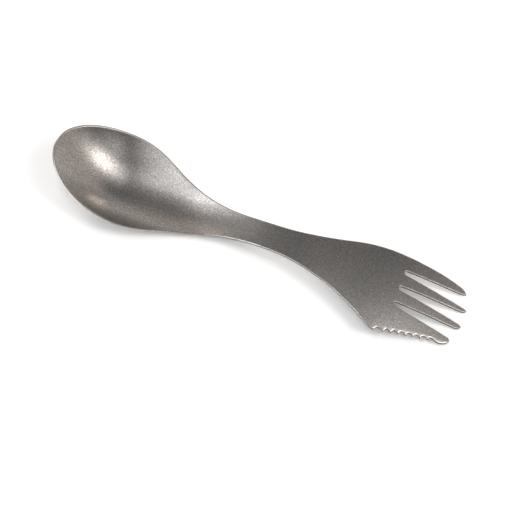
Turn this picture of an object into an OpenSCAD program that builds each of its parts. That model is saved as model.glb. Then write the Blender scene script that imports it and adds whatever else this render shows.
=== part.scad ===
// Camping spork pressed from one titanium sheet: a bowl at one end, a four-tine fork with one serrated
// outer tine at the other, joined by a waisted handle with a shallow S profile. One piece, no joints.
// +X runs from the bowl's lip to the fork, +Z up, the serrated tine on -Y. Rests on z = 0.

/* [Overall] */
// Length from the bowl's lip to the two inner tine tips
length = 170; // [140:1:200]
// Height of the bowl's lip above the table, to its upper corner
lip_rise = 16.6; // [12:0.2:22]
// Sheet thickness
sheet_t = 1; // [0.6:0.1:1.6]
// How far every trimmed edge is broken
edge_break = 0.3; // [0.1:0.02:0.4]

/* [Bowl] */
// Bowl width across the upper corners of its rim
bowl_w = 38.2; // [30:0.2:46]
// Distance from the lip to the bowl's widest place
bowl_wide_at = 28.7; // [22:0.1:36]
// Deepest dish below the rim
bowl_depth = 8.1; // [4:0.05:12]
// Exponent of the dish across the bowl, 2 is a parabola
dish_power = 2.1; // [1.6:0.1:4]

/* [Handle] */
// Narrowest width of the handle
waist_w = 11.1; // [7:0.1:18]
// Height of the sheet's top face at the handle's crest
crest_rise = 9.2; // [6:0.1:14]

/* [Fork] */
// Length of the inner tines, from the roots of the slots to their tips
tine_l = 27.6; // [23:0.2:33]
// Distance from the middle line to the plain outer tine's outer edge at the roots
palm_far = 14.6; // [10:0.05:20]
// Distance between the middle lines of neighbouring slots
slot_pitch = 7.05; // [5:0.05:9]
// Offset of the middle slot from the handle's middle line
slot_shift = 0.3; // [-1:0.05:1]
// Radius of each slot's root
slot_r = 0.8; // [0.5:0.05:1.6]
// Angle of each slot wall to the slot's middle line
slot_flare = 3.9; // [0:0.1:7]
// How far the plain outer tine's tip stays behind the inner tips
outer_tip_back = 2.1; // [0:0.1:5]
// Length over which an inner tine's point is rounded
point_l = 2.2; // [0.5:0.1:4]
// Length over which the outer tine's point is rounded
outer_point_l = 3.4; // [0.5:0.1:6]

/* [Serration] */
// Distance from the corner where the serrated edge starts to the slot roots
corner_back = 3.9; // [2.5:0.1:6]
// Distance from the middle line to that corner
serration_out = 20.25; // [14:0.05:26]
// Distance from the middle line to the cusp beside the slot roots
cusp_out = 19.4; // [14:0.05:26]
// Length of the serrated run from the slot roots to its last cusp
serrated_l = 17.2; // [13:0.1:19]
// Scallops in that run
cusp_steps = 6; // [4:1:8]
// How much the cusp line closes in over that run
cusp_close = 4.9; // [2:0.1:7]
// Depth of each scallop
scallop_d = 1.15; // [0.4:0.05:1.4]
// How far the serrated tine's blunt tip stays behind the inner tips
blunt_tip_back = 2.5; // [0:0.1:4]
// Radius of that tip's inner corner
blunt_r = 1; // [0.4:0.1:2]

/* [Fineness] */
// Rows round the front of the bowl
front_rows = 12; // [6:1:18]
// Rows from the bowl's widest place to the serration
handle_rows = 44; // [20:1:60]
// Lines across each plain tine
tine_lines = 4; // [2:1:6]
// Lines across the serrated tine
blade_lines = 7; // [3:1:10]

/* [Hidden] */
// Half-width of the neck and handle: share of the way from the lip to the serration's corner, then share
// of the bowl's half width, and the place of the waist on the same way
neck_shares = [[0.264, 0.952], [0.307, 0.848], [0.35, 0.708], [0.393, 0.577], [0.437, 0.465],
               [0.48, 0.38], [0.523, 0.323], [0.565, 0.297]];
waist_share = 0.614;
grip_shares = [[0.675, 0.303], [0.718, 0.336], [0.761, 0.394], [0.805, 0.471]];
// Half-width at the palm: share of the same way, then share of palm_far or of serration_out
palm_shares = [[0.847, 0.735], [0.891, 0.861], [0.935, 0.948], [0.982, 0.992]];
near_shares = [[0.847, 0.527], [0.891, 0.653], [0.935, 0.798], [0.956, 0.887], [0.978, 0.966]];
// Outer edge of the plain outer tine: share of the tine length from the root, then share of palm_far
outer_shares = [[0, 1], [0.292, 0.985], [0.538, 0.955], [0.729, 0.903], [0.926, 0.822]];
// Profile of the rim and handle: share of the length, then share of the lip's or crest's rise
rim_shares = [[0, 1], [0.073, 0.765], [0.144, 0.593], [0.215, 0.47], [0.265, 0.355]];
handle_shares = [[0.312, 0.489], [0.353, 0.451], [0.391, 0.522], [0.447, 0.717], [0.5, 0.891],
                 [0.553, 0.978], [0.606, 1], [0.691, 0.913], [0.765, 0.826], [0.838, 0.71], [0.918, 0.451]];
// Dish of the bowl, trough of the neck and, below 0, crown of the palm: share of the length, then
// share of the depth
dish_shares = [[0, 0], [0.041, 0.43], [0.088, 0.78], [0.135, 0.972], [0.177, 1], [0.218, 0.858],
               [0.259, 0.618], [0.3, 0.4], [0.341, 0.23], [0.382, 0.12], [0.423, 0.058], [0.47, 0.015],
               [0.53, 0], [0.6, -0.01], [0.7, -0.04], [0.8, -0.06], [0.9, -0.05], [1, -0.02]];
// Nose behind the last cusp: shares of the cusp pitch along and of the scallop depth outward
nose_shares = [[0.1, -0.75], [0.26, -1.19], [0.46, -1.2], [0.75, -0.98]];
nose_bump_share = 1.12;
nose_out_share = 0.72;
// Closer rows toward the serration
row_ease = 1.2;
// Where a point is narrow, the broken edge's share of its width
narrow_share = 0.35;
// Longest mitre of the broken edge at a cusp, in its own width
mitre_limit = 2.4;
// Slopes at the ends of the curves
lip_fall_share = 3.4;
point_fall_share = 4.3;
lip_dish_share = 2;
outer_edge_slope = -0.3;
near_edge_slope = 0.05;
// Where a tine's point lies between its edges, and how far a slot's middle line drifts
outer_lean_share = 0.68;
inner_lean_share = 0.3;
drift_shares = [0.012, 0.012, -0.068];
half_l = length / 2;
probe = length / 4000;
root_steps = 5;
tip_steps = 4;
mid_steps = 7;
rise_steps = 3;
ramp_steps = 4;
scallop_steps = rise_steps + ramp_steps;
scallop_top_share = 0.42;
bench_share = 0.36;
ramp_power = 1.3;
nose_steps = 6;
corner_steps = 3;
titanium = [0.62, 0.6, 0.57];

// Smooth curve through points, slopes given at both ends
function gap(k, i) = k[i + 1][0] - k[i][0];
function rise(k, i) = (k[i + 1][1] - k[i][1]) / gap(k, i);
function sweep(k, i, c, d) =
    i >= len(k) - 1 ? [] :
    let (b = 2 * (gap(k, i - 1) + gap(k, i)) - gap(k, i - 1) * c,
         c2 = gap(k, i) / b,
         d2 = (6 * (rise(k, i) - rise(k, i - 1)) - gap(k, i - 1) * d) / b)
    concat([[c2, d2]], sweep(k, i + 1, c2, d2));
function unwind(cd, i, m) =
    i < 0 ? [] : let (mi = cd[i][1] - cd[i][0] * m) concat(unwind(cd, i - 1, mi), [mi]);
function bends(k, m0, m1) =
    let (n = len(k) - 1,
         d0 = 3 * (rise(k, 0) - m0) / gap(k, 0),
         cd = concat([[0.5, d0]], sweep(k, 1, 0.5, d0)),
         h = gap(k, n - 1),
         mn = (6 * (m1 - rise(k, n - 1)) - h * cd[n - 1][1]) / (2 * h - h * cd[n - 1][0]))
    concat(unwind(cd, n - 1, mn), [mn]);
function curve(k, m0, m1) = [k, bends(k, m0, m1)];
function span(k, x, lo, hi) =
    hi - lo <= 1 ? lo : let (m = floor((lo + hi) / 2)) x < k[m][0] ? span(k, x, lo, m) : span(k, x, m, hi);
function along(c, x) =
    let (k = c[0], i = span(k, x, 0, len(k) - 1), h = gap(k, i),
         a = (k[i + 1][0] - x) / h, b = (x - k[i][0]) / h)
    a * k[i][1] + b * k[i + 1][1] + ((a * a * a - a) * c[1][i] + (b * b * b - b) * c[1][i + 1]) * h * h / 6;

// The plan outline, x measured from the middle of the length
function lay(shares, size, way = length, from = -half_l) =
    [for (s = shares) [from + s[0] * way, s[1] * size]];
wide_x = bowl_wide_at - half_l;
root_x = half_l - tine_l;
serr_x = root_x - corner_back;
handle_way = serr_x + half_l;
waist_x = waist_share * handle_way - half_l;
handle_pts = concat([[wide_x, bowl_w / 2]], lay(neck_shares, bowl_w / 2, handle_way),
                    [[waist_x, waist_w / 2]], lay(grip_shares, bowl_w / 2, handle_way));
far_curve = curve(concat(handle_pts, lay(palm_shares, palm_far, handle_way),
                         lay(outer_shares, palm_far, tine_l, root_x)), 0, outer_edge_slope);
near_curve = curve(concat(handle_pts, lay(near_shares, serration_out, handle_way),
                          [[serr_x, serration_out]]), 0, near_edge_slope);
function front(x) = bowl_w / 2 * sqrt(max(0, 1 - pow((x - wide_x) / bowl_wide_at, 2)));
function half_w(x) = x < wide_x ? front(x) : along(far_curve, min(x, serr_x));

// The sheet's top face
rim_curve = curve(concat(lay(rim_shares, lip_rise), lay(handle_shares, crest_rise), [[half_l, sheet_t]]),
                  -lip_fall_share * lip_rise / length, -point_fall_share * crest_rise / length);
dish_curve = curve(lay(dish_shares, bowl_depth), lip_dish_share * bowl_depth / bowl_wide_at, 0);
function dish(x, y) =
    let (w = half_w(x), v = w > probe ? abs(y) / w : sign(abs(y)))
    along(dish_curve, x) * (1 - pow(v, dish_power));
function top_z(x, y) = along(rim_curve, x) - dish(x, y);
function up(x, y) =
    let (sx = (top_z(x + probe, y) - top_z(x - probe, y)) / (2 * probe),
         sy = (top_z(x, y + probe) - top_z(x, y - probe)) / (2 * probe),
         n = [-sx, -sy, 1])
    n / norm(n);
// a point of the sheet at a depth below its top face, never below the table
function sunk(p, d) =
    let (q = [p[0], p[1], top_z(p[0], p[1])] - d * up(p[0], p[1])) [q[0], q[1], max(0, q[2])];

// Slots: middle lines and walls
blunt_x = half_l - blunt_tip_back;
slot_root_y = [slot_shift + slot_pitch, slot_shift, slot_shift - slot_pitch];
function slot_mid(k, x) = slot_root_y[k] + drift_shares[k] * slot_pitch * (x - root_x) / (half_l - root_x);
function slot_half(x) =
    let (d = x - root_x)
    d < slot_r ? sqrt(max(0, slot_r * slot_r - pow(slot_r - d, 2))) : slot_r + (d - slot_r) * tan(slot_flare);
function wall(k, side, x) = slot_mid(k, x) + side * slot_half(x);
blunt_y = wall(2, -1, blunt_x) - blunt_r;

// Outline points, row by row: a far point and a near point
front_x = [for (i = [1:front_rows]) wide_x - bowl_wide_at * cos(90 * i / front_rows)];
handle_x = [for (i = [1:handle_rows]) wide_x + (serr_x - wide_x) * (1 - pow(1 - i / handle_rows, row_ease))];
// a scallop from the cusp a to the cusp b, its end b included: a steep round rise, then a long ramp
function scallop(a, b) =
    let (e = b - a, n = [-e[1], e[0]] / norm(e), t = scallop_top_share)
    concat([for (i = [1:rise_steps]) let (q = 90 * i / rise_steps)
                a + e * t * i / rise_steps + n * scallop_d * sin(q)],
           [for (i = [1:ramp_steps]) let (u = i / ramp_steps)
                a + e * (t + (1 - t) * u) + n * scallop_d * (1 - pow(u, ramp_power))]);
corner = [serr_x, -serration_out];
cusp_pitch = serrated_l / cusp_steps;
cusps = [for (i = [0:cusp_steps]) [root_x + i * cusp_pitch, -cusp_out + i * cusp_close / cusp_steps]];
far_x = concat(front_x, handle_x,
               [for (i = [1:scallop_steps]) serr_x + (root_x - serr_x) * i / scallop_steps]);
body_far = [for (x = far_x) [x, x < wide_x ? front(x) : along(far_curve, x)]];
body_near = concat([for (x = front_x) [x, -front(x)]], [for (x = handle_x) [x, -along(near_curve, x)]],
                   scallop(corner, cusps[0]));
last_cusp = cusps[cusp_steps];
bump = last_cusp + [nose_bump_share * cusp_pitch, nose_out_share * scallop_d];
blade_near = concat(
    [for (i = [0:cusp_steps - 1]) each scallop(cusps[i], cusps[i + 1])],
    [for (s = nose_shares) last_cusp + [s[0] * cusp_pitch, -s[1] * scallop_d]],
    [for (i = [0:nose_steps - 1])
        let (a = 90 * i / nose_steps)
        [bump[0] + (blunt_x - bump[0]) * sin(a), bump[1] + (blunt_y - bump[1]) * (1 - cos(a))]]);
blade_n = len(blade_near);
function slot_x(n, tip) = concat(
    [for (i = [1:root_steps]) root_x + slot_r * (1 - cos(90 * i / root_steps))],
    [for (i = [1:n]) root_x + slot_r + (tip - root_x - slot_r) * i / n]);
function tine_x(tip, l) = concat(slot_x(mid_steps, tip - l),
    [for (i = [1:tip_steps - 1]) tip - l + l * sin(90 * i / tip_steps)]);
function tine_tip(k) = k == 0 ? half_l - outer_tip_back : half_l;
function tine_lean(k) = k == 0 ? outer_lean_share : inner_lean_share;
function far_wall(k, x) = k == 0 ? along(far_curve, x) : wall(k - 1, -1, x);
function point_of(k) = k == 0 ? outer_point_l : point_l;
function round_off(k, x) =
    let (l = point_of(k), u = (x - tine_tip(k) + l) / l) u <= 0 ? 1 : sqrt(max(0, 1 - u * u));
function tine_row(k, x) =
    let (a = far_wall(k, x), b = wall(k, 1, x), m = a + (b - a) * tine_lean(k), f = round_off(k, x))
    [[x, m + (a - m) * f], [x, m + (b - m) * f]];
function tip_of(k) = tine_row(k, tine_tip(k))[0];
// the serrated tine's inner wall, with its rounded corner at the tip
blade_wall = concat(
    [for (x = slot_x(blade_n - root_steps - corner_steps, blunt_x - blunt_r)) [x, wall(2, -1, x)]],
    [for (i = [1:corner_steps])
        let (q = 90 * i / (corner_steps + 1), x = blunt_x - blunt_r + blunt_r * sin(q))
        [x, wall(2, -1, x) - blunt_r * (1 - cos(q))]]);
// the rows of each tine, its point left out
tines = concat([for (k = [0:2]) [for (x = tine_x(tine_tip(k), point_of(k))) tine_row(k, x)]],
               [[for (i = [0:blade_n - 1]) [blade_wall[i], blade_near[i]]]]);
tips = concat([for (k = [0:2]) tip_of(k)], [[blunt_x, blunt_y]]);

// Each edge's inner line, where the flat face meets the broken edge
function along_to(a, b) = (b - a) / norm(b - a);
function inset(a, p, b, d) =
    let (e = along_to(a, p), f = along_to(p, b), g = (e + f) / norm(e + f), m = min(mitre_limit, 1 / (e * g)))
    p + m * d * [g[1], -g[0]];
function edge(line, i, side, d = edge_break) = inset(line[i - 1], line[i], line[i + 1], side * d);
lip = [-half_l, 0];
nb = len(body_far);
far_line = concat([lip], body_far, [tines[0][0][0]]);
near_line = concat([lip], body_near, [tines[3][0][1]]);
lines_of = [tine_lines, tine_lines, tine_lines, blade_lines];
all_lines = 3 * tine_lines + blade_lines;
// where the slots' lines cross a row, as shares from its far edge to its near edge
function crossing(a, b, x) =
    let (g = max(0, min(1, x / root_x)), s = g * g * (3 - 2 * g))
    concat([0], [for (k = [0:2])
        (1 - s) * (k + 1) * tine_lines / all_lines + s * (a[1] - slot_root_y[k]) / (a[1] - b[1])], [1]);
// rows beside the scallops run to an even line along the cusps, and only their last point follows the edge
first_row = front_rows + handle_rows;
function even(i) = corner + (cusps[0] - corner) * (i - first_row) / scallop_steps + [0, edge_break];
blade_even = concat(
    [for (i = [1:cusp_steps * scallop_steps])
        cusps[0] + (last_cusp - cusps[0]) * i / (cusp_steps * scallop_steps)],
    [for (s = nose_shares) last_cusp + (bump - last_cusp) * s[0] / nose_bump_share],
    [for (i = [0:nose_steps - 1]) blade_near[blade_n - nose_steps + i]]);
function bench(i, far) =
    let (p = blade_even[i]) p + [0, min(scallop_d + 2 * edge_break, bench_share * (far[1] - p[1]))];
function spread(c) = concat([0], [for (k = [0:3]) each [for (j = [1:lines_of[k]])
    c[k] + (c[k + 1] - c[k]) * j / lines_of[k]]]);
function body_row(i) =
    let (a = edge(far_line, i, 1), b = edge(near_line, i, -1), s = spread(crossing(a, b, body_far[i - 1][0])))
    i <= first_row ? [for (j = [0:all_lines]) a + (b - a) * s[j]] :
    let (v = even(i),
         c = i < nb ? [] : concat([a], [for (y = slot_root_y) [root_x - edge_break, y]], [v]))
    i < nb ? concat([for (j = [0:all_lines - 1]) a + (v - a) * s[j]], [b]) :
    concat([a], [for (k = [0:3]) each [for (j = [1:lines_of[k]])
        k == 3 && j == lines_of[3] ? b : c[k] + (c[k + 1] - c[k]) * j / lines_of[k]]]);
// one ring of the sheet: top face, near edge, under face back again, far edge
function ring(top, far, near) = concat(
    [for (p = top) sunk(p, 0)],
    [sunk(near, edge_break), sunk(near, sheet_t - edge_break)],
    [for (j = [len(top) - 1:-1:0]) sunk(top[j], sheet_t)],
    [sunk(far, sheet_t - edge_break), sunk(far, edge_break)]);
function point(in, out) =
    [sunk(in, 0), sunk(out, edge_break), sunk(out, sheet_t - edge_break), sunk(in, sheet_t)];
function tine_line(k, side) = concat(
    [k == 0 && side == 0 ? body_far[nb - 1] : k == 3 && side == 1 ? body_near[nb - 1]
        : [root_x, slot_root_y[side == 0 ? k - 1 : k]]],
    [for (r = tines[k]) r[side]], [tips[k]]);
function tine_ring(k, i) =
    let (f = tine_line(k, 0), n = tine_line(k, 1), d = min(edge_break, narrow_share * norm(f[i] - n[i])),
         a = edge(f, i, 1, d), b = edge(n, i, -1, d), m = lines_of[k])
    ring(k < 3 || i > cusp_steps * scallop_steps + len(nose_shares) ? [for (j = [0:m]) a + (b - a) * j / m]
        : concat([for (j = [0:m - 1]) a + (bench(i - 1, a) - a) * j / (m - 1)], [b]), f[i], n[i]);

// Vertices, and the numbers of each ring's vertices in order
body_points = concat(point(lip + [edge_break, 0], lip),
    [for (i = [1:nb]) each ring(body_row(i), body_far[i - 1], body_near[i - 1])],
    [for (y = slot_root_y) each [sunk([root_x, y], edge_break), sunk([root_x, y], sheet_t - edge_break)]]);
tine_points = [for (k = [0:3]) concat([for (i = [1:len(tines[k])]) each tine_ring(k, i)],
    point(tips[k] - [narrow_share * edge_break, 0], tips[k]))];
function ring_n(m) = 2 * m + 6;
roots_from = 4 + nb * ring_n(all_lines);
tines_from = [for (k = 0, s = len(body_points); k < 4; s = s + len(tine_points[k]), k = k + 1) s];
function pole_ring(from, m) = concat([for (j = [0:m]) from], [from + 1, from + 2],
    [for (j = [0:m]) from + 3], [from + 2, from + 1]);
function full_ring(from, m) = [for (j = [0:ring_n(m) - 1]) from + j];
function body_ring(i) =
    i == 0 ? pole_ring(0, all_lines) : full_ring(4 + (i - 1) * ring_n(all_lines), all_lines);
function root_pair(k) = [roots_from + 2 * k, roots_from + 2 * k + 1];
function root_ring(k) =
    let (r = body_ring(nb), m = lines_of[k], j0 = k * tine_lines, w = all_lines)
    concat([for (j = [0:m]) r[j0 + j]],
           k == 3 ? [r[w + 1], r[w + 2]] : root_pair(k),
           [for (j = [m:-1:0]) r[2 * w + 3 - j0 - j]],
           k == 0 ? [r[2 * w + 4], r[2 * w + 5]] : [root_pair(k - 1)[1], root_pair(k - 1)[0]]);
function tine_ring_n(k, i) =
    i == 0 ? root_ring(k) :
    i > len(tines[k]) ? pole_ring(tines_from[k] + len(tines[k]) * ring_n(lines_of[k]), lines_of[k]) :
    full_ring(tines_from[k] + (i - 1) * ring_n(lines_of[k]), lines_of[k]);
function skin(a, b) = [for (j = [0:len(a) - 1])
    let (n = (j + 1) % len(a), under = 2 * j > len(a) - 4)
    each under ? [[a[j], b[j], a[n]], [b[j], b[n], a[n]]] : [[a[j], b[j], b[n]], [a[j], b[n], a[n]]]];
function whole(f) = [for (t = f) if (t[0] != t[1] && t[1] != t[2] && t[2] != t[0]) t];

all_points = concat(body_points, [for (k = [0:3]) each tine_points[k]]);
function middle(axis) = let (v = [for (p = all_points) p[axis]]) (min(v) + max(v)) / 2;

module spork_body() {
    color(titanium)
        translate([-middle(0), -middle(1), 0]) polyhedron(
            points = all_points,
            faces = whole(concat(
                [for (i = [1:nb]) each skin(body_ring(i - 1), body_ring(i))],
                [for (k = [0:3]) each [for (i = [1:len(tines[k]) + 1]) each
                    skin(tine_ring_n(k, i - 1), tine_ring_n(k, i))]])),
            convexity = 6);
}

spork_body();
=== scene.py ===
"""A camping spork pressed from one titanium sheet: its finely rounded skin, its bead-blasted finish,
and the pale table and soft lamps it is shown under. Everything is in metres, in the part's own frame."""

import math
from types import SimpleNamespace

import bpy
import numpy as np
from bpy.props import FloatProperty, FloatVectorProperty, IntProperty, PointerProperty
from mathutils import Matrix, Vector


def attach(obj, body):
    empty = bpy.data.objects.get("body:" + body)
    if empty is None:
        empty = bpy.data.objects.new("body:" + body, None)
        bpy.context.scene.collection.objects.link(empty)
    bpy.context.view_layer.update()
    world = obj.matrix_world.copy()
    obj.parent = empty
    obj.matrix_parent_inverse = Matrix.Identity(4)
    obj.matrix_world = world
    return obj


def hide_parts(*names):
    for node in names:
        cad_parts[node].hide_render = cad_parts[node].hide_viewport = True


bl_info = {
    "name": "Titanium Spork",
    "version": (1, 0, 0),
    "blender": (4, 5, 0),
    "location": "3D View > Sidebar > Spork",
    "description": "Makes a titanium camping spork around its packed frame, and a table to show it on",
    "category": "Add Mesh",
}

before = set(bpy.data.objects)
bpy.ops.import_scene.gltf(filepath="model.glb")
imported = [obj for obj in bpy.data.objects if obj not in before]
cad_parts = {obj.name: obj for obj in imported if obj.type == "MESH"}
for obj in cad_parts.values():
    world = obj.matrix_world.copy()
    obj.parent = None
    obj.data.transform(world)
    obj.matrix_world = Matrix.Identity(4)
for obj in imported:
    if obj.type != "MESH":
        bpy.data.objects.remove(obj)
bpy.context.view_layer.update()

# Half-width of the neck and handle: share of the way from the lip to the serration's corner, then
# share of the bowl's half width, and the place of the waist on the same way
NECK = [(0.264, 0.952), (0.307, 0.848), (0.35, 0.708), (0.393, 0.577), (0.437, 0.465),
        (0.48, 0.38), (0.523, 0.323), (0.565, 0.297)]
WAIST = 0.614
GRIP = [(0.675, 0.303), (0.718, 0.336), (0.761, 0.394), (0.805, 0.471)]
# Half-width at the palm: share of the same way, then share of the palm's or the serration's reach
PALM_FAR = [(0.847, 0.735), (0.891, 0.861), (0.935, 0.948), (0.982, 0.992)]
PALM_NEAR = [(0.847, 0.527), (0.891, 0.653), (0.935, 0.798), (0.956, 0.887), (0.978, 0.966)]
# Outer edge of the plain outer tine: share of the tine length from the root, then share of the palm
OUTER_EDGE = [(0, 1), (0.292, 0.985), (0.538, 0.955), (0.729, 0.903), (0.926, 0.822)]
# Profile of the rim and of the handle: share of the length, then share of the lip's or crest's rise
RIM = [(0, 1), (0.073, 0.765), (0.144, 0.593), (0.215, 0.47), (0.265, 0.355)]
HANDLE = [(0.312, 0.489), (0.353, 0.451), (0.391, 0.522), (0.447, 0.717), (0.5, 0.891),
          (0.553, 0.978), (0.606, 1), (0.691, 0.913), (0.765, 0.826), (0.838, 0.71), (0.918, 0.451)]
# Dish along the bowl: share of the length, then share of the depth
DISH = [(0, 0), (0.041, 0.43), (0.088, 0.78), (0.135, 0.972), (0.177, 1), (0.218, 0.858),
        (0.259, 0.618), (0.3, 0.4), (0.341, 0.23), (0.382, 0.12), (0.423, 0.058), (0.47, 0.015),
        (0.53, 0), (0.6, -0.01), (0.7, -0.04), (0.8, -0.06), (0.9, -0.05), (1, -0.02)]
DISH_POWER = 2.1
# Notch behind the last cusp: share of the cusp pitch along, share of the scallop depth inward
NOTCH = [(0, 0), (0.1, 0.75), (0.26, 1.19), (0.46, 1.2), (0.75, 0.98), (1.12, 0.72)]
# Slopes at the ends of the curves
LIP_FALL, POINT_FALL, LIP_DISH, OUTER_SLOPE, NEAR_SLOPE = -3.4, -4.3, 2.0, -0.3, 0.05
# The plain tines beside the serrated one. As many slots part them from each other and from it
PLAIN_TINES = 3
LAST_SLOT = PLAIN_TINES - 1
# Where each plain tine's point lies between its edges, and how far each slot's middle line drifts
POINT_LEAN = (0.68, 0.3, 0.3)
SLOT_DRIFT = (0.012, 0.012, -0.068)
# Where a scallop is deepest, and the power of its ramp
SCALLOP_TOP, RAMP_POWER = 0.42, 1.3
# Slopes at the two ends of the notch, in its own shares
NOTCH_SLOPES = (9, -0.9)

# Fineness: steps round the edge's radius, where the next two columns lie in those radii, then columns
# and rows of each part of the skin
EDGE_STEPS = 6
EDGE_BEYOND = [1.4, 2.0]
TINE_COLUMNS, BLADE_COLUMNS = 22, 27
FRONT_ROWS, HANDLE_ROWS, PALM_ROWS = 46, 140, 18
ROOT_ROWS, TINE_ROWS, POINT_ROWS = 8, 20, 16
SCALLOP_ROWS, NOTCH_ROWS, NOSE_ROWS = 20, 20, 24
# The largest share of a row that the gathered columns at one end may take
ROW_SHARE = 0.45
# Over what length the rows draw in to the slots' lines, and turn square to the cusps, in metres
FORK_REACH, TILT_REACH = 0.020, 0.006
# Points closer than this are one point
WELD = 1e-8
# How softly the sheet settles on the table, as a share of its thickness
TABLE_EASE = 0.05
# The worn upper edge of the serration and the blunt tine: where it starts along the part and below
# which reach across, over what length it sets in, and how much wider it is there, as a share
TEETH_FROM, TEETH_BELOW, TEETH_EASE = 0.051, -0.0115, 0.002
WORN = 0.65
# From the middle of the sheet's length and the handle's middle line to the middle of the part's box
BOX_SHIFT = (0.000267624, 0.000327653, 0)

# The small step that slopes are taken over, as a fraction of the length
PROBE_STEPS = 4000
# How far in the columns gather from the line of the cusps: in scallop depths, and in the edge's own reach
BENCH_SCALLOPS, BENCH_EDGE = 1.25, 1.3
# How many pairs of point and segment are measured at once
PAIRS_AT_ONCE = 4_000_000

# The finish. Distances from the edge are in millimetres, and places are in metres in the part's frame
BOWL_ENDS = (-0.05, -0.01)
TEETH_ALONG, TEETH_ACROSS = (0.05, 0.054), (-0.0105, -0.0125)
# Bands from the edge: painted shade on the side faces, painted highlight on breaks and rim, painted glint
# on flanks
SIDE_SHADE_EDGE = (0.1, 0.2)
LINE_RISE, LINE_FALL = (0.15, 0.3), (0.3, 0.55)
RIM_FALL = (0.3, 0.5)
FLANK_RISE, FLANK_FALL = (0.1, 0.25), (0.6, 0.85)
# The ways that the edges with a painted highlight and the teeth's flanks with a painted glint face, and how
# squarely they have to
HIGHLIGHT_WAY, HIGHLIGHT_FACING = (-0.6, -0.8, 0), (0.0, 0.45)
FLANK_WAY, FLANK_FACING = (0.85, -0.53, 0), (0.2, 0.5)
# Parts of each noise that are spread over the whole of what it drives
PATCH_RANGE, SPECK_RANGE, GLINT_RANGE, ROUGH_RANGE = (0.35, 0.65), (0.3, 0.7), (0.62, 0.75), (0.25, 0.75)
# Detail and roughness of each noise, and how the glints' noise differs from the grain's
GRAIN_NOISE, PATCH_NOISE, GLINT_NOISE = (3.0, 0.7), (3.0, 0.55), (1.0, 0.5)
GLINT_FINENESS, GLINT_SHIFT = 0.8, (0.7, 0.3, 0.5)
# How far the roughness swings either way with the grain, and how deep its pits are in metres
ROUGH_SWING, PIT_DEPTH = 0.06, 0.0001
MILLIMETRES = 1000

# The stage: half the table's width, the distance over which it turns to plain white, and the heights
# between which the sky changes, as shares of straight up
TABLE_HALF = 3.0
TABLE_FADE = (0.18, 0.6)
SKY_FADE = (0.02, 0.25)
# The point of the part that the picture is framed on, and the picture's centre to its right and up
FRAMED_ON = (0.000266, 0.000345, 0.00653)
AIM = (0.00115, -0.01066)
# The camera's sensor in millimetres, and the nearest and farthest that it sees
SENSOR, NEAREST, FARTHEST = 36, 0.05, 20
LAMP_DISTANCE = 1.6
WHITE, PALE_BLUE = (1, 1, 1), (0.97, 0.985, 1)
# Each lamp: name, lean towards +X and +Y in degrees, size, glow, tint and shape
LAMPS = [
    ("right_lamp", (40.5, 2), (0.66, 0.66), 7.7, (1, 0.955, 0.9), "DISK"),
    ("left_lamp_up", (-24, 12), (0.3, 0.44), 3.2, PALE_BLUE, "RECTANGLE"),
    ("left_lamp", (-18.5, -6), (0.3, 0.5), 8.6, PALE_BLUE, "RECTANGLE"),
    ("left_lamp_low", (-21.5, -26), (0.24, 0.42), 16, PALE_BLUE, "RECTANGLE"),
    ("low_lamp", (-11, -42), (0.36, 0.4), 2.5, PALE_BLUE, "RECTANGLE"),
    ("front_fill", (-20, -62), (1.6, 0.9), 1.2, WHITE, "RECTANGLE"),
    ("middle_fill", (20.5, 3.5), (0.6, 0.84), 1.9, WHITE, "RECTANGLE"),
    ("lower_fill", (33, -31), (0.45, 0.45), 1.8, WHITE, "RECTANGLE"),
    ("hollow_fill", (10, 60), (0.6, 0.5), 0.8, WHITE, "RECTANGLE"),
    ("right_fill", (65, 6), (0.9, 1.0), 0.5, (1, 0.92, 0.88), "RECTANGLE"),
    ("far_low", (10, 82), (1.3, 0.35), 1.1, (1, 0.95, 0.9), "RECTANGLE"),
    ("side_fill", (50, 48), (1.1, 1.0), 0.82, (1, 0.92, 0.87), "RECTANGLE"),
    ("far_fill", (-27, 54), (1.1, 0.9), 0.45, (1, 0.9, 0.82), "RECTANGLE"),
    ("back_lamp", (-46, 50), (0.36, 0.36), 24, (1, 0.93, 0.87), "RECTANGLE"),
    ("far_card", (21, 77), (0.17, 0.1), 17, (1, 0.85, 0.72), "RECTANGLE"),
]


def clamped_spline(points, slope_in, slope_out):
    """Cubic through every point, with the slopes at its two ends given: the bends at the points solve
    the usual three-term equations, and each stretch is its chord plus a cubic of its two bends."""
    x, y = np.array(points, float).T
    gap, count = np.diff(x), len(x)
    rise, inner = np.diff(y) / gap, np.arange(1, count - 1)
    a, b = np.zeros((count, count)), np.zeros(count)
    a[0, :2], b[0] = (2 * gap[0], gap[0]), 6 * (rise[0] - slope_in)
    a[-1, -2:], b[-1] = (gap[-1], 2 * gap[-1]), 6 * (slope_out - rise[-1])
    a[inner, inner - 1], a[inner, inner + 1] = gap[:-1], gap[1:]
    a[inner, inner], b[inner] = 2 * (gap[:-1] + gap[1:]), 6 * np.diff(rise)
    bend = np.linalg.solve(a, b)

    def at(q):
        """The curve's height at each q: the chord between its two points, and their bends' cubic."""
        q = np.asarray(q, float)
        k = np.clip(np.searchsorted(x, q, side="right") - 1, 0, count - 2)
        p, r = (x[k + 1] - q) / gap[k], (q - x[k]) / gap[k]
        cubic = (p**3 - p) * bend[k] + (r**3 - r) * bend[k + 1]
        return p * y[k] + r * y[k + 1] + cubic * gap[k] ** 2 / 6

    return at


def ease(t):
    """Smooth step: 0 below 0, 1 above 1, and three t squared less two t cubed between."""
    t = np.clip(t, 0, 1)
    return t * t * (3 - 2 * t)


def unit(v):
    """Each vector divided by its own length."""
    return v / np.linalg.norm(v, axis=-1, keepdims=True)


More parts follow.
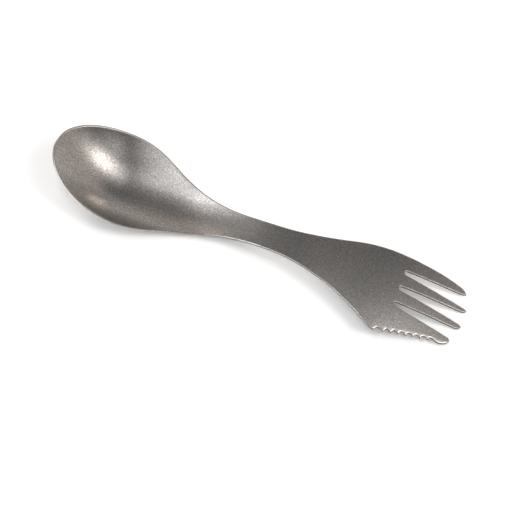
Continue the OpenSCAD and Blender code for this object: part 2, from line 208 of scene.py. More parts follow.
class Sheet:
    """The pressed sheet as formulas, with x from the middle of its length and the serration on -Y."""

    def __init__(self, s):
        """Makes the curves of the outline, the rim and the dish from the sizes."""
        self.s, self.half = s, s.length / 2
        self.probe = s.length / PROBE_STEPS
        self.lip_x, self.wide_x = -self.half, s.bowl_wide_at - self.half
        self.root_x = self.half - s.tine_length
        self.corner_x = self.root_x - s.corner_back
        self.blunt_x = self.half - s.blunt_back
        way, bowl = self.corner_x + self.half, s.bowl_width / 2

        def lay(shares, size, start=-self.half, run=way):
            """Points of a curve from shares: x is the start plus a share of the run, and y is a share
            of the size."""
            return [(start + u * run, v * size) for u, v in shares]

        handle = [(self.wide_x, bowl), *lay(NECK, bowl), (WAIST * way - self.half, s.waist_width / 2),
                  *lay(GRIP, bowl)]
        outer = lay(OUTER_EDGE, s.palm_far, self.root_x, s.tine_length)
        self.far = clamped_spline([*handle, *lay(PALM_FAR, s.palm_far), *outer], 0, OUTER_SLOPE)
        near = [*lay(PALM_NEAR, s.corner_reach), (self.corner_x, s.corner_reach)]
        self.near = clamped_spline([*handle, *near], 0, NEAR_SLOPE)
        full = (-self.half, s.length)
        profile = [*lay(RIM, s.lip_rise, *full), *lay(HANDLE, s.crest_rise, *full), (self.half, s.sheet)]
        self.rim = clamped_spline(profile, LIP_FALL * s.lip_rise / s.length,
                                  POINT_FALL * s.crest_rise / s.length)
        self.bowl = clamped_spline(lay(DISH, s.bowl_depth, *full),
                                   LIP_DISH * s.bowl_depth / s.bowl_wide_at, 0)
        self.slot_y = s.slot_shift + s.slot_pitch * np.array([1, 0, -1])

    def half_width(self, x):
        """Half an ellipse in front of the bowl's widest place, and the handle's curve behind it."""
        front = 1 - ((x - self.wide_x) / self.s.bowl_wide_at) ** 2
        front = self.s.bowl_width / 2 * np.sqrt(np.maximum(0, front))
        return np.where(x < self.wide_x, front, self.far(np.clip(x, self.wide_x, self.corner_x)))

    def top(self, x, y):
        """Height of the top face: the rim's curve, less the dish's curve times one minus a power of y
        over the half-width."""
        w = self.half_width(x)
        v = np.where(w > self.probe, np.abs(y) / np.maximum(w, self.probe), np.sign(np.abs(y)))
        return self.rim(x) - self.bowl(x) * (1 - v**DISH_POWER)

    def up(self, x, y):
        """Unit normal of the top face, from its slopes over a small step each way."""
        d = self.probe
        sx = (self.top(x + d, y) - self.top(x - d, y)) / (2 * d)
        sy = (self.top(x, y + d) - self.top(x, y - d)) / (2 * d)
        return unit(np.stack([-sx, -sy, np.ones_like(sx)], -1))

    def sunk(self, p, depth):
        """Points of the sheet under the plan points p, at a depth along the normal below its top face."""
        x, y = p[..., 0], p[..., 1]
        q = np.stack([x, y, self.top(x, y)], -1) - np.asarray(depth)[..., None] * self.up(x, y)
        soft = TABLE_EASE * self.s.sheet
        z = q[..., 2]
        q[..., 2] = np.where(z < soft, np.maximum(z + soft, 0) ** 2 / (4 * soft), z)
        return q

    def wall(self, slot, side, x):
        """A slot's wall: its drifting middle line, and beside it a round root and then a straight flare."""
        s, run = self.s, x - self.root_x
        middle = self.slot_y[slot] + SLOT_DRIFT[slot] * s.slot_pitch * run / s.tine_length
        root = np.sqrt(np.maximum(0, s.slot_radius**2 - (s.slot_radius - run) ** 2))
        flare = s.slot_radius + (run - s.slot_radius) * math.tan(s.slot_flare)
        return middle + side * np.where(run < s.slot_radius, root, flare)


def even_way(count, first=0.0, last=1.0):
    """That many even steps between two values, the first value left out."""
    return np.linspace(first, last, count + 1)[1:]


def bend_in(steps):
    """Shares of a quarter turn's reach that start densely: one minus the cosine of even angles."""
    return 1 - np.cos(np.linspace(0, math.pi / 2, steps + 1))


class Plan:
    """Where the skin's vertices lie in plan: rows across the sheet from its far edge to its near edge,
    gathered towards every edge so that the round of the edge is followed."""

    def __init__(self, sheet):
        """Makes the rows of the bowl, handle and palm as one run, and those of each tine."""
        self.sheet, s = sheet, sheet.s
        self.close = s.edge_round * np.append(bend_in(EDGE_STEPS), EDGE_BEYOND)
        self.packed = len(self.close) - 1
        self.columns = PLAIN_TINES * TINE_COLUMNS + BLADE_COLUMNS
        self.bench = BENCH_SCALLOPS * s.scallop_depth + BENCH_EDGE * self.close[-1]
        root, corner = sheet.root_x, sheet.corner_x
        self.cusp0 = np.array([root, -s.cusp_reach])
        self.cusp1 = self.cusp0 + [s.serrated, s.cusp_close]
        self.pitch = s.serrated / s.scallops
        self.corner = np.array([corner, -s.corner_reach])
        run = unit(self.cusp1 - self.cusp0)
        self.inward = np.array([-run[1], run[0]])
        self.body = np.concatenate([self.front_rows(), self.handle_rows(), self.palm_rows()])
        self.tines = [self.tine_rows(k) for k in range(PLAIN_TINES)] + [self.blade_rows()]

    def front_rows(self):
        """Round the front of the bowl each row is an arc square to the outline at both ends: on an ellipse
        of reach a, the arc through the point X from its middle is centred a squared over X from it."""
        sheet, s = self.sheet, self.sheet.s
        a, b = s.bowl_wide_at, s.bowl_width / 2
        inner = even_way(FRONT_ROWS, self.close[-2] / b, math.pi / 2)
        turn = np.concatenate([self.close[1:-1] / b, inner])[:-1]
        x, y = -a * np.cos(turn), b * np.sin(turn)
        c = a * a / x
        radius, half_turn = np.hypot(x - c, y), np.arctan2(y, x - c)
        length = 2 * half_turn * radius
        gone = self.distances(length)
        angle = half_turn[:, None] - gone / radius[:, None]
        return np.stack([sheet.wide_x + c[:, None] + radius[:, None] * np.cos(angle),
                         radius[:, None] * np.sin(angle)], -1)

    def distances(self, length):
        """Distances along rows of those lengths: gathered at both ends, even between."""
        k = np.minimum(1, ROW_SHARE * length / self.bench)[:, None]
        start, end = self.close * k, length[:, None] - self.close[::-1] * k
        count = self.columns - 2 * self.packed - 1
        a, e = start[:, -1:], length[:, None] - self.bench * k
        middle = a + (e - a) * np.linspace(0, 1, count + 1)[1:]
        return np.concatenate([start, middle, end], -1)

    def fork_lines(self, far, near):
        """The y of every inner column on rows from far to near: gathered at each slot's root and even
        between them."""
        d, y = self.close, self.sheet.slot_y
        starts, ends = [far, *(y - d[-1])], [*(y + d[-1]), near]
        counts = [TINE_COLUMNS - 2 * self.packed] * PLAIN_TINES + [BLADE_COLUMNS - 2 * self.packed - 1]
        runs = []
        for k in range(PLAIN_TINES + 1):
            share = np.linspace(0, 1, counts[k] + 1)
            start, end = np.broadcast_arrays(starts[k], ends[k], far)[:2]
            runs.append(start[:, None] + (end - start)[:, None] * share)
            if k < PLAIN_TINES:
                gathered = np.append(y[k] + d[::-1][1:], y[k] - d[1:-1])
                runs.append(np.tile(gathered, (len(far), 1)))
        return np.concatenate(runs, 1)

    def cross_rows(self, x, near, base, tilt):
        """Straight rows at those x, from the far edge to the near edge's points: the far columns step
        straight in, the near ones step along a direction that turns by tilt to square with the cusps."""
        far = np.stack([x, self.sheet.far(x)], -1)
        step = unit((1 - tilt)[:, None] * np.array([0, 1.0]) + tilt[:, None] * self.inward)
        far_part = far[:, None] - self.close[None, :, None] * np.array([0, 1.0])
        near_part = near[:, None] + self.close[::-1][None, :, None] * step[:, None]
        a, e = far_part[:, -1], base + step * self.bench
        count = self.columns - 2 * self.packed - 1
        flat = np.linspace(0, 1, count + 1)[None, :]
        lines = (a[:, 1:] - self.fork_lines(a[:, 1], e[:, 1])) / (a - e)[:, 1:]
        draw = ease((x - self.sheet.root_x + FORK_REACH) / (FORK_REACH - self.close[-1]))[:, None]
        share = ((1 - draw) * flat + draw * lines)[:, 1:]
        root = share[:, PLAIN_TINES * TINE_COLUMNS - self.packed - 1, None]
        slide = np.clip((share - root) / (1 - root), 0, 1)
        middle = np.stack([a[:, :1] + (e - a)[:, :1] * slide, a[:, 1:] + (e - a)[:, 1:] * share], -1)
        return np.concatenate([far_part, middle, near_part], 1)

    def handle_rows(self):
        """From the bowl's widest place to the serration's corner."""
        sheet = self.sheet
        x = np.linspace(sheet.wide_x, sheet.corner_x, HANDLE_ROWS + 1)
        near = np.stack([x, -sheet.near(x)], -1)
        tilt = ease((x - sheet.corner_x + TILT_REACH) / TILT_REACH)
        return self.cross_rows(x, near, near, tilt)

    def scallop(self, start, end, t):
        """A scallop from cusp to cusp: inward by a quarter sine up to its deepest place, then back by one
        minus a power along a long ramp."""
        run = end - start
        inward = np.array([-run[1], run[0]]) / np.linalg.norm(run)
        depth = np.where(t < SCALLOP_TOP, np.sin(np.clip(t / SCALLOP_TOP, 0, 1) * math.pi / 2),
                         1 - np.clip((t - SCALLOP_TOP) / (1 - SCALLOP_TOP), 0, 1) ** RAMP_POWER)
        base = start + run * t[:, None]
        return base, base + inward * self.sheet.s.scallop_depth * depth[:, None]

    def palm_rows(self):
        """Beside the first scallop, gathered before the slot roots as at an edge."""
        sheet = self.sheet
        last = 1 - self.close[::-1] / sheet.s.corner_back
        t = np.concatenate([even_way(PALM_ROWS, 0, last[0])[:-1], last])
        base, near = self.scallop(self.corner, self.cusp0, t)
        x = sheet.corner_x + t * sheet.s.corner_back
        return self.cross_rows(x, near, base, np.ones_like(x))

    def narrow(self, far, near, columns, step=None, base=None):
        """Rows across a tine, gathered at both edges and never past each other on its narrow point. Where
        a base is given, the near side's gathering ends on the line that lies one bench in from it."""
        width = (far - near)[:, 1]
        reach = self.close[-1] if base is None else self.bench
        k = np.minimum(1, ROW_SHARE * width / reach)[:, None, None]
        down = np.array([0, 1.0])
        far_part = far[:, None] - k * self.close[None, :, None] * down
        step = down if step is None else step
        near_part = near[:, None] + k * self.close[::-1][None, :, None] * step
        a = far_part[:, -1]
        e = near_part[:, 0] if base is None else base + k[:, 0] * self.bench * step
        count = columns - 2 * self.packed - (base is not None)
        share = np.linspace(0, 1, count + 1)[None, 1:(None if base is not None else -1), None]
        middle = a[:, None] + (e - a)[:, None] * share
        return np.concatenate([far_part, middle, near_part], 1)

    def tine_rows(self, k):
        """A plain tine: walls from the slots, and a point where both draw in to one line as a quarter
        ellipse does."""
        sheet, s = self.sheet, self.sheet.s
        tip = sheet.half - (s.outer_back if k == 0 else 0)
        point = s.outer_point if k == 0 else s.point
        x = np.concatenate([sheet.root_x + s.slot_radius * bend_in(ROOT_ROWS)[1:],
                            even_way(TINE_ROWS, sheet.root_x + s.slot_radius, tip - point),
                            tip - point * bend_in(POINT_ROWS)[::-1][1:]])
        far = sheet.far(x) if k == 0 else sheet.wall(k - 1, -1, x)
        near = sheet.wall(k, 1, x)
        middle = far + (near - far) * POINT_LEAN[k]
        draw = np.sqrt(np.maximum(0, 1 - np.maximum(0, (x - tip) / point + 1) ** 2))
        far, near = middle + (far - middle) * draw, middle + (near - middle) * draw
        return self.narrow(np.stack([x, far], -1), np.stack([x, near], -1), TINE_COLUMNS)

    def blade_rows(self):
        """The serrated tine: scallops, a notch behind the last cusp, and a nose that is a quarter ellipse
        down to the blunt tip, whose inner corner is round."""
        sheet, s = self.sheet, self.sheet.s
        step = (self.cusp1 - self.cusp0) / s.scallops
        t = even_way(SCALLOP_ROWS)
        first = np.unique(np.append(t, s.slot_radius * bend_in(ROOT_ROWS)[1:] / self.pitch))
        base, near = [], []
        for i in range(s.scallops):
            b, n = self.scallop(self.cusp0 + i * step, self.cusp0 + (i + 1) * step, first if i == 0 else t)
            base.append(b)
            near.append(n)
        notch = clamped_spline(NOTCH, NOTCH_SLOPES[0], NOTCH_SLOPES[1])
        u = NOTCH[-1][0] * even_way(NOTCH_ROWS)
        bump = self.cusp1 + [NOTCH[-1][0] * self.pitch, NOTCH[-1][1] * s.scallop_depth]
        base.append(self.cusp1 + (bump - self.cusp1) * (u / NOTCH[-1][0])[:, None])
        near.append(self.cusp1 + np.stack([u * self.pitch, notch(u) * s.scallop_depth], -1))
        blunt = np.array([sheet.blunt_x, sheet.wall(LAST_SLOT, -1, sheet.blunt_x) - s.blunt_radius])
        turn = even_way(NOSE_ROWS) * math.pi / 2
        nose = bump + (blunt - bump) * np.stack([np.sin(turn), 1 - np.cos(turn)], -1)
        base.append(nose)
        near.append(nose)
        base, near = np.concatenate(base), np.concatenate(near)
        x = base[:, 0]
        over = np.clip((x - sheet.blunt_x) / s.blunt_radius + 1, 0, 1)
        wall = sheet.wall(LAST_SLOT, -1, x) - s.blunt_radius * (1 - np.sqrt(1 - over**2))
        far = np.stack([x, wall], -1)
        return self.narrow(far, near, BLADE_COLUMNS, self.inward, base)

    def outline(self):
        """The edge as one closed run of plan points, from the lip round the far side and back."""
        sheet = self.sheet
        runs = [np.array([[sheet.lip_x, 0]]), self.body[:, 0]]
        for k, rows in enumerate(self.tines):
            runs += [rows[:, 0], rows[::-1, -1]]
            if k < PLAIN_TINES:
                runs.append(np.array([[sheet.root_x, sheet.slot_y[k]]]))
        runs.append(self.body[::-1, -1])
        return np.concatenate(runs)


def edge_distance(points, outline):
    """Distance of each plan point from a closed line: the least over its segments of the distance to the
    nearest place on each, which is the foot of the perpendicular kept between the segment's ends."""
    a = outline
    d = np.roll(a, -1, 0) - a
    keep = (d**2).sum(1) > WELD**2
    a, d = a[keep], d[keep]
    found = []
    for part in np.array_split(points, max(1, len(points) * len(a) // PAIRS_AT_ONCE)):
        v = part[:, None] - a[None]
        t = np.clip((v * d).sum(-1) / (d**2).sum(-1), 0, 1)
        found.append(np.sqrt(((v - t[..., None] * d) ** 2).sum(-1).min(1)))
    return np.concatenate(found)


def edge_drop(away, depth, reach):
    """How far a face sinks at a distance from the edge: a quarter ellipse, this deep and reaching this
    far in."""
    part = 1 - np.minimum(away / reach, 1)
    return depth * (1 - np.sqrt(1 - part**2))


def skin_of(sheet):
    """The closed skin: every row becomes a ring, its top face from far to near and its under face back.
    Both faces sink near the edge as a quarter ellipse does, the top one further in where it is worn.
    Returns the points, the quads and each point's distance from the edge."""
    plan = Plan(sheet)
    outline = plan.outline()
    s, m = sheet.s, plan.columns
    lip = np.repeat([[[sheet.lip_x, 0.0]]], m + 1, 1)
    grids = [np.concatenate([lip, plan.body])]
    first = 0
    for k, rows in enumerate(plan.tines):
        last = first + (TINE_COLUMNS if k < PLAIN_TINES else BLADE_COLUMNS)
        grids.append(np.concatenate([plan.body[-1:, first:last + 1], rows]))
        first = last
    points, quads, gaps, seen = [], [], [], 0
    for g in grids:
        rows, columns = g.shape[:2]
        flat = g.reshape(-1, 2)
        away = edge_distance(flat, outline).reshape(rows, columns)
        away[:, [0, -1]] = 0
        along, across = g[..., 0], g[..., 1]
        worn = ease((along - TEETH_FROM) / TEETH_EASE) * ease((TEETH_BELOW - across) / TEETH_EASE)
        top = sheet.sunk(g, edge_drop(away, s.edge_round, s.edge_round * (1 + WORN * worn)))
        under = sheet.sunk(g, s.sheet - edge_drop(away, s.edge_round, s.edge_round))
        ring = np.concatenate([top, under[:, ::-1]], 1)
        points.append(ring.reshape(-1, 3))
        gaps.append(np.concatenate([away, away[:, ::-1]], 1).ravel())
        n = 2 * columns
        here = seen + np.arange(rows * n).reshape(rows, n)
        seen += rows * n
        a, b = here[:-1], here[1:]
        quads.append(np.stack([a, np.roll(a, -1, 1), np.roll(b, -1, 1), b], -1).reshape(-1, 4))
    points, quads, gaps = np.concatenate(points), np.concatenate(quads), np.concatenate(gaps)
    _, keep, index = np.unique(np.round(points / WELD).astype(np.int64), axis=0,
                               return_index=True, return_inverse=True)
    quads = index.reshape(-1)[quads]
    return points[keep], quads, gaps[keep]


def quads_and_triangles(quads):
    """Quads as they are, and those with one corner twice as triangles."""
    twice = quads == np.roll(quads, -1, 1)
    pinched = quads[twice.sum(1) == 1]
    triangles = pinched[~twice[twice.sum(1) == 1]].reshape(-1, 3)
    return quads[~twice.any(1)].tolist() + triangles.tolist()


class Nodes:
    """Short ways to add and join shader nodes in one material."""

    def __init__(self, name):
        """Starts an empty node material of that name."""
        self.material = bpy.data.materials.new(name)
        self.material.use_nodes = True
        self.tree = self.material.node_tree
        self.tree.nodes.clear()

    def add(self, kind, values=None, **settings):
        """A node with its settings, and its inputs given as numbers or as the outputs that feed them."""
        node = self.tree.nodes.new(kind)
        for key, value in settings.items():
            setattr(node, key, value)
        for key, value in (values or {}).items():
            if isinstance(value, bpy.types.NodeSocket):
                self.tree.links.new(value, node.inputs[key])
            else:
                node.inputs[key].default_value = value
        return node

    def math(self, operation, a, b=0.0):
        """One sum, product or other operation on two values."""
        return self.add("ShaderNodeMath", {0: a, 1: b}, operation=operation).outputs[0]

    def facing(self, normal, way):
        """How squarely the surface faces a fixed way in the part's frame: their dot product."""
        product = self.add("ShaderNodeVectorMath", {0: normal, 1: way}, operation="DOT_PRODUCT")
        return product.outputs["Value"]

    def spread(self, value, low, high, to_low=0.0, to_high=1.0):
        """The value carried from one range to another, and held at its ends."""
        return self.add("ShaderNodeMapRange", {0: value, 1: low, 2: high, 3: to_low, 4: to_high}).outputs[0]

    def noise(self, vector, scale, detail, roughness):
        """Smooth noise from 0 to 1 at a place: so many lumps a metre, with finer ones laid over them."""
        values = {"Vector": vector, "Scale": scale, "Detail": detail, "Roughness": roughness}
        return self.add("ShaderNodeTexNoise", values).outputs["Fac"]

    def mix(self, factor, a, b, blend="MIX"):
        """Colour a turned into colour b by a factor, or multiplied by it."""
        node = self.add("ShaderNodeMix", data_type="RGBA", blend_type=blend)
        for socket, value in ((node.inputs[0], factor), (node.inputs[6], a), (node.inputs[7], b)):
            if isinstance(value, bpy.types.NodeSocket):
                self.tree.links.new(value, socket)
            else:
                socket.default_value = value
        return node.outputs[2]


def blasted_titanium(f):
    """Bead-blasted titanium: a fine grain of pits and glints, slow patches of warmer and cooler grey,
    painted shade darkening the side faces of the handle and the fork, and painted highlights on the breaks
    that face the near side, most of all round the bowl, and painted glints on the flanks of the teeth."""
    n = Nodes("blasted_titanium")
    place = n.add("ShaderNodeTexCoord").outputs["Object"]
    parts = n.add("ShaderNodeSeparateXYZ", {0: place})
    along, across = parts.outputs["X"], parts.outputs["Y"]
    normal = n.add("ShaderNodeNewGeometry").outputs["Normal"]
    edge = n.add("ShaderNodeAttribute", attribute_name="edge_distance").outputs["Fac"]
    bowl = n.spread(along, *BOWL_ENDS)
    teeth = n.math("MULTIPLY", n.spread(along, *TEETH_ALONG), n.spread(across, *TEETH_ACROSS))

    # Painted highlight on breaks facing the near side: round the bowl's rim, and along upper breaks away
    # from the teeth
    near = n.spread(n.facing(normal, HIGHLIGHT_WAY), *HIGHLIGHT_FACING)
    line = n.math("MULTIPLY", n.spread(edge, *LINE_RISE), n.spread(edge, *LINE_FALL, 1.0, 0.0))
    line = n.math("MULTIPLY", line, n.spread(teeth, 0.0, 1.0, f.break_highlight, 0.0))
    rim = n.math("MULTIPLY", n.spread(edge, *RIM_FALL, 1.0, 0.0), n.spread(bowl, 0.0, 1.0, 1.0, 0.0))
    painted_highlight = n.math("MULTIPLY", near, n.math("MAXIMUM", rim, line))
    # Painted glint: the teeth's steep flanks that face the right-hand lamp are lightened in colour
    band = n.math("MULTIPLY", n.spread(edge, *FLANK_RISE), n.spread(edge, *FLANK_FALL, 1.0, 0.0))
    flank_glint = n.math("MULTIPLY", n.spread(n.facing(normal, FLANK_WAY), *FLANK_FACING), band)
    flank_glint = n.math("MULTIPLY", flank_glint, n.spread(teeth, 0.0, 1.0, 0.0, f.tooth_glint))
    painted_highlight = n.math("MAXIMUM", painted_highlight, flank_glint)
    # Painted shade: the side faces of the handle and the fork darkened, where the table beside them lies in
    # shade
    trimmed = n.spread(edge, *SIDE_SHADE_EDGE, 1.0, 0.0)
    trimmed = n.math("MULTIPLY", trimmed, n.spread(bowl, 0.0, 1.0, 0.0, f.painted_shade_strength))

    grain = n.noise(place, f.grain_scale, *GRAIN_NOISE)
    patch = n.noise(place, f.patch_scale, *PATCH_NOISE)
    aside = n.add("ShaderNodeVectorMath", {0: place, 1: GLINT_SHIFT}).outputs[0]
    glint = n.noise(aside, f.grain_scale * GLINT_FINENESS, *GLINT_NOISE)
    glint = n.spread(glint, *GLINT_RANGE, 0.0, f.glints)
    speck = n.spread(grain, *SPECK_RANGE, 1 - f.grain_contrast, 1 + f.grain_contrast)
    speck = n.math("ADD", speck, glint)
    grey = n.add("ShaderNodeCombineColor", {0: speck, 1: speck, 2: speck}).outputs[0]
    tint = n.mix(n.spread(patch, *PATCH_RANGE), (*f.cool_colour, 1), (*f.warm_colour, 1))
    colour = n.mix(1.0, tint, grey, "MULTIPLY")
    # Painted shade, then painted highlights and glints, mixed into the metal's colour
    colour = n.mix(trimmed, colour, (*f.painted_shade_colour, 1))
    colour = n.mix(n.math("MULTIPLY", painted_highlight, f.painted_highlight_strength), colour, (*f.painted_highlight_colour, 1))
    rough = n.spread(grain, *ROUGH_RANGE, f.roughness + ROUGH_SWING, f.roughness - ROUGH_SWING)
    bump = n.add("ShaderNodeBump", {"Strength": f.grain_bump, "Distance": PIT_DEPTH, "Height": grain})
    shader = n.add("ShaderNodeBsdfPrincipled", {"Base Color": colour, "Roughness": rough, "Metallic": 1.0,
                                                "Normal": bump.outputs[0]})
    n.add("ShaderNodeOutputMaterial", {"Surface": shader.outputs[0]})
    return n.material


def pale_table(t):
    """A matt pale table that keeps the part's shadow. The camera and the metal see it lifted a little, and
    plain white further out."""
    n = Nodes("pale_table")
    path = n.add("ShaderNodeLightPath")
    seen = n.math("MAXIMUM", path.outputs["Is Camera Ray"], path.outputs["Is Glossy Ray"])
    seen = n.math("MAXIMUM", seen, path.outputs["Is Transmission Ray"])
    place = n.add("ShaderNodeTexCoord").outputs["Object"]
    away = n.add("ShaderNodeVectorMath", {0: place}, operation="LENGTH").outputs["Value"]
    far = n.math("MULTIPLY", n.spread(away, *TABLE_FADE), seen)
    diffuse = n.add("ShaderNodeBsdfDiffuse", {"Color": (*t.floor_colour, 1)})
    lift = n.math("MULTIPLY", seen, t.floor_lift)
    glow = n.add("ShaderNodeEmission", {"Color": (*WHITE, 1), "Strength": lift})
    near = n.add("ShaderNodeAddShader", {0: diffuse.outputs[0], 1: glow.outputs[0]})
    white = n.add("ShaderNodeEmission", {"Color": (*WHITE, 1), "Strength": 1.0})
    both = n.add("ShaderNodeMixShader", {0: far, 1: near.outputs[0], 2: white.outputs[0]})
    n.add("ShaderNodeOutputMaterial", {"Surface": both.outputs[0]})
    return n.material


def soft_sky(t):
    """An even room: pale at the horizon and darker overhead, by the height of each direction."""
    world = bpy.data.worlds.new("soft_sky")
    world.use_nodes = True
    tree = world.node_tree
    tree.nodes.clear()
    place = tree.nodes.new("ShaderNodeTexCoord")
    parts = tree.nodes.new("ShaderNodeSeparateXYZ")
    fall = tree.nodes.new("ShaderNodeMapRange")
    fall.interpolation_type = "SMOOTHSTEP"
    sky = tree.nodes.new("ShaderNodeBackground")
    sky.inputs[0].default_value = (*t.sky_colour, 1)
    out = tree.nodes.new("ShaderNodeOutputWorld")
    for k, value in enumerate((*SKY_FADE, t.horizon, t.sky), 1):
        fall.inputs[k].default_value = value
    tree.links.new(place.outputs["Generated"], parts.inputs[0])
    tree.links.new(parts.outputs[2], fall.inputs[0])
    tree.links.new(fall.outputs[0], sky.inputs[1])
    tree.links.new(sky.outputs[0], out.inputs[0])
    return world


def length(name, default, text):
    """A length in metres that the sidebar shows in the scene's own units."""
    return FloatProperty(name=name, description=text, default=default, min=0, unit="LENGTH",
                         subtype="DISTANCE", precision=5)


def share(name, default, text, top=1.0):
    """A plain share or strength from nothing to its top."""
    return FloatProperty(name=name, description=text, default=default, min=0, max=top, subtype="FACTOR")


def colour(name, default, text):
    """A colour as three shares of linear light."""
    return FloatVectorProperty(name=name, description=text, default=default, min=0, max=1, size=3,
                               subtype="COLOR")


class SporkSizes(bpy.types.PropertyGroup):
    """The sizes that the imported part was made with."""

    length: length("Length", 0.170, "From the bowl's lip to the inner tine tips")
    lip_rise: length("Lip rise", 0.0166, "Height of the bowl's lip above the table")
    sheet: length("Sheet", 0.001, "Thickness of the sheet")
    edge_round: length("Edge round", 0.00045, "Radius of every trimmed edge")
    bowl_width: length("Bowl width", 0.0382, "Across the rim at its widest place")
    bowl_wide_at: length("Bowl wide at", 0.0287, "From the lip to the bowl's widest place")
    bowl_depth: length("Bowl depth", 0.0081, "Deepest dish below the rim")
    waist_width: length("Waist width", 0.0111, "Narrowest width of the handle")
    crest_rise: length("Crest rise", 0.0092, "Height of the top face at the handle's crest")


class ForkSizes(bpy.types.PropertyGroup):
    """Sizes of the four tines and of the serrated edge."""

    tine_length: length("Tine length", 0.0276, "From the slot roots to the inner tips")
    palm_far: length("Palm reach", 0.0146, "From the middle line to the plain outer edge at the roots")
    slot_pitch: length("Slot pitch", 0.00705, "Between the middle lines of neighbouring slots")
    slot_shift: length("Slot shift", 0.0003, "Offset of the middle slot from the handle's middle line")
    slot_radius: length("Slot radius", 0.0008, "Radius of each slot's root")
    slot_flare: FloatProperty(name="Slot flare", description="Angle of a slot wall to its middle line",
                              default=math.radians(3.9), min=0, max=0.2, subtype="ANGLE", unit="ROTATION")
    outer_back: length("Outer tip back", 0.0021, "How far the outer tine's tip stays behind")
    point: length("Point", 0.0022, "Length over which an inner tine's point is rounded")
    outer_point: length("Outer point", 0.0034, "Length over which the outer tine's point is rounded")
    corner_back: length("Corner back", 0.0039, "From the serration's corner to the slot roots")
    corner_reach: length("Corner reach", 0.02025, "From the middle line to the serration's corner")
    cusp_reach: length("Cusp reach", 0.0194, "From the middle line to the cusp beside the roots")
    serrated: length("Serrated run", 0.0172, "From the slot roots to the last cusp")
    scallops: IntProperty(name="Scallops", description="Scallops in the serrated run", default=6, min=3,
                          max=9)
    cusp_close: length("Cusp line closes", 0.0049, "How much the cusp line closes in over that run")
    scallop_depth: length("Scallop depth", 0.00115, "Depth of each scallop")
    blunt_back: length("Blunt tip back", 0.0025, "How far the serrated tine's tip stays behind")
    blunt_radius: length("Blunt radius", 0.001, "Radius of that tip's inner corner")


class Finish(bpy.types.PropertyGroup):
    """The blasted titanium, with its painted shade and painted highlights."""

    cool_colour: colour("Cool grey", (0.29, 0.278, 0.27), "The cooler patches")
    warm_colour: colour("Warm grey", (0.315, 0.293, 0.278), "The warmer patches")
    # Painted highlight colour for the near-facing breaks and the teeth's flanks
    painted_highlight_colour: colour("Edge", (0.66, 0.64, 0.615), "Metal rubbed bright along the edges")
    roughness: share("Roughness", 0.33, "Middle roughness of the blasted skin")
    grain_contrast: share("Grain contrast", 0.42, "How much the grain's specks differ in brightness")
    glints: share("Glints", 0.6, "How much brighter the scattered glints are")
    grain_bump: share("Grain bump", 0.2, "Strength of the pits")
    # How strongly the painted highlight is laid on: overall, along upper breaks, and as glints on the
    # teeth's flanks
    painted_highlight_strength: share("Edge rub", 0.9, "How far the edges take the rubbed colour")
    break_highlight: share("Line rub", 0.65, "The same along the upper break of every edge")
    tooth_glint: share("Tooth rub", 0.8, "The same on the steep flanks of the serration's teeth")
    # Painted shade on the side faces of the handle and the fork: its colour and how strongly it is laid on
    painted_shade_colour: colour("Trimmed", (0.12, 0.116, 0.112), "The trimmed faces of the handle and the fork")
    painted_shade_strength: share("Trim darkness", 0.7, "How far those faces take that colour")
    grain_scale: FloatProperty(name="Grain scale", description="Specks per metre", default=1800, min=100)
    patch_scale: FloatProperty(name="Patch scale", description="Patches per metre", default=90, min=1)


class Stage(bpy.types.PropertyGroup):
    """The table, lamps and camera."""

    floor_colour: colour("Table", (0.94, 0.94, 0.94), "The matt table")
    floor_lift: share("Table lift", 0.11, "What the camera sees added to the lit table")
    sky_colour: colour("Sky colour", (0.77, 0.8, 0.82), "The even light all round")
    sky: share("Sky", 0.155, "Strength of the even light all round", 2.0)
    horizon: share("Horizon", 0.53, "The same near the horizon", 2.0)
    distance: length("Camera distance", 1.5, "From the camera to the part")
    field: length("Field", 0.2013, "Width of the picture at the part")
    elevation: FloatProperty(name="Elevation", description="Camera above the horizon",
                             default=math.radians(63), subtype="ANGLE", unit="ROTATION")
    roll: FloatProperty(name="Roll", description="How far the part's length turns clockwise in the picture",
                        default=math.radians(21.17), subtype="ANGLE", unit="ROTATION")


def own_names(group):
    """Names of a property group's own values."""
    return [k for k in group.bl_rna.properties.keys() if k not in ("name", "rna_type")]


class SPORK_OT_body(bpy.types.Operator):
    """Makes the spork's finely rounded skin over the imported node"""

    bl_idname = "spork.body"
    bl_label = "Spork body"

    def execute(self, context):
        """Builds the skin from the sizes and gives it its finish and its body."""
        scene = context.scene
        fields = {k: getattr(group, k) for group in (scene.spork_sizes, scene.spork_fork)
                  for k in own_names(group)}
        sheet = Sheet(SimpleNamespace(**fields))
        points, quads, away = skin_of(sheet)
        mesh = bpy.data.meshes.new("spork_skin")
        mesh.from_pydata((points + BOX_SHIFT).tolist(), [], quads_and_triangles(quads))
        distances = mesh.attributes.new("edge_distance", "FLOAT", "POINT")
        distances.data.foreach_set("value", away * MILLIMETRES)
        mesh.shade_smooth()
        mesh.materials.append(blasted_titanium(scene.spork_finish))
        mesh.update()
        skin = bpy.data.objects.new("spork_skin", mesh)
        context.collection.objects.link(skin)
        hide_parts("spork_body")
        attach(skin, "root")
        return {"FINISHED"}


def soft_lamp(context, name, lean, size, glow, tint, shape):
    """An area lamp that faces the part from overhead, leaning by angles towards +X and +Y. Its power is
    its glow times its area times pi, so the glow is how bright it looks."""
    reach = math.hypot(*lean)
    turn = math.radians(reach)
    way = Vector((math.sin(turn) * lean[0] / reach, math.sin(turn) * lean[1] / reach, math.cos(turn)))
    area = size[0] * size[1] * (math.pi / 4 if shape == "DISK" else 1)
    data = bpy.data.lights.new(name, "AREA")
    data.shape, data.size, data.size_y = shape, size[0], size[1]
    data.energy, data.color = glow * area * math.pi, tint
    side = Vector((0, 1, 0)).cross(way).normalized()
    set_up(context, name, data, (side, way.cross(side), way), way * LAMP_DISTANCE)


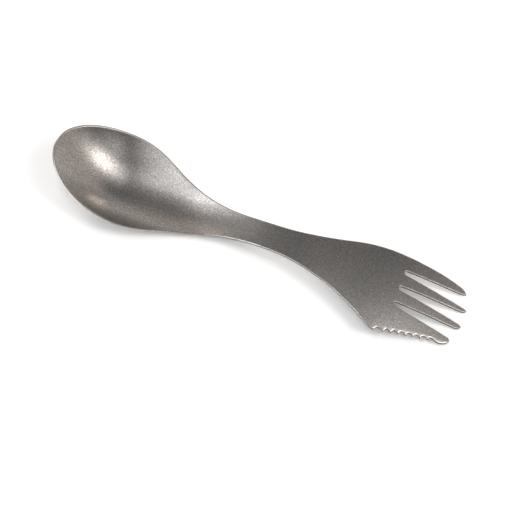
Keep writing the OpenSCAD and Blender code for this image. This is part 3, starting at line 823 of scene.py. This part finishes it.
def set_up(context, name, data, axes, position):
    """Puts a lamp or a camera in the scene with its own three axes and its position."""
    thing = bpy.data.objects.new(name, data)
    matrix = Matrix(axes).transposed().to_4x4()
    matrix.translation = position
    thing.matrix_world = matrix
    context.collection.objects.link(thing)
    return thing


def photo_camera(context, t):
    """A camera at its elevation over the part's near side, turned by its roll about its own line of
    sight, with its centre shifted from the framed point along the picture's two ways."""
    e, r = t.elevation, t.roll
    right, up = Vector((1, 0, 0)), Vector((0, math.sin(e), math.cos(e)))
    away = Vector((0, -math.cos(e), math.sin(e)))
    turned = math.cos(r) * right + math.sin(r) * up
    upward = -math.sin(r) * right + math.cos(r) * up
    aim = Vector(FRAMED_ON) + turned * AIM[0] + upward * AIM[1]
    data = bpy.data.cameras.new("camera")
    data.sensor_width = SENSOR
    data.lens = SENSOR * t.distance / t.field
    data.clip_start, data.clip_end = NEAREST, FARTHEST
    return set_up(context, "camera", data, (turned, upward, away), aim + away * t.distance)


class SPORK_OT_stage(bpy.types.Operator):
    """Makes the pale table, the soft lamps and the camera"""

    bl_idname = "spork.stage"
    bl_label = "Table, lamps and camera"

    def execute(self, context):
        """Lays the table, hangs the lamps and sets the camera."""
        t = context.scene.spork_stage
        h = TABLE_HALF
        mesh = bpy.data.meshes.new("table")
        mesh.from_pydata([(-h, -h, 0), (h, -h, 0), (h, h, 0), (-h, h, 0)], [], [(0, 1, 2, 3)])
        mesh.materials.append(pale_table(t))
        table = bpy.data.objects.new("table", mesh)
        context.collection.objects.link(table)
        context.scene.world = soft_sky(t)
        for lamp in LAMPS:
            soft_lamp(context, *lamp)
        context.scene.camera = photo_camera(context, t)
        context.scene.view_settings.view_transform = "Standard"
        return {"FINISHED"}


class SPORK_PT_panel(bpy.types.Panel):
    """Lists the sizes, the finish and the stage"""

    bl_idname = "SPORK_PT_panel"
    bl_label = "Spork"
    bl_space_type = "VIEW_3D"
    bl_region_type = "UI"
    bl_category = "Spork"

    def draw(self, context):
        """One box for each group, with the button that makes what it describes."""
        for key, operator in GROUPS:
            box = self.layout.box()
            group = getattr(context.scene, key)
            for name in own_names(group):
                box.prop(group, name)
            if operator:
                box.operator(operator)


GROUPS = (("spork_sizes", ""), ("spork_fork", ""), ("spork_finish", "spork.body"),
          ("spork_stage", "spork.stage"))
HOLDERS = (SporkSizes, ForkSizes, Finish, Stage)
CLASSES = (*HOLDERS, SPORK_OT_body, SPORK_OT_stage, SPORK_PT_panel)


def register():
    """Registers the classes and gives the scene its groups."""
    for cls in CLASSES:
        bpy.utils.register_class(cls)
    for (key, _), holder in zip(GROUPS, HOLDERS):
        setattr(bpy.types.Scene, key, PointerProperty(type=holder))


def unregister():
    """Takes the groups and the classes away again."""
    for key, _ in GROUPS:
        delattr(bpy.types.Scene, key)
    for cls in reversed(CLASSES):
        bpy.utils.unregister_class(cls)


def main():
    """Registers everything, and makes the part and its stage."""
    register()
    bpy.ops.spork.body()
    bpy.ops.spork.stage()
    bpy.context.view_layer.update()


if __name__ == "__main__":
    main()
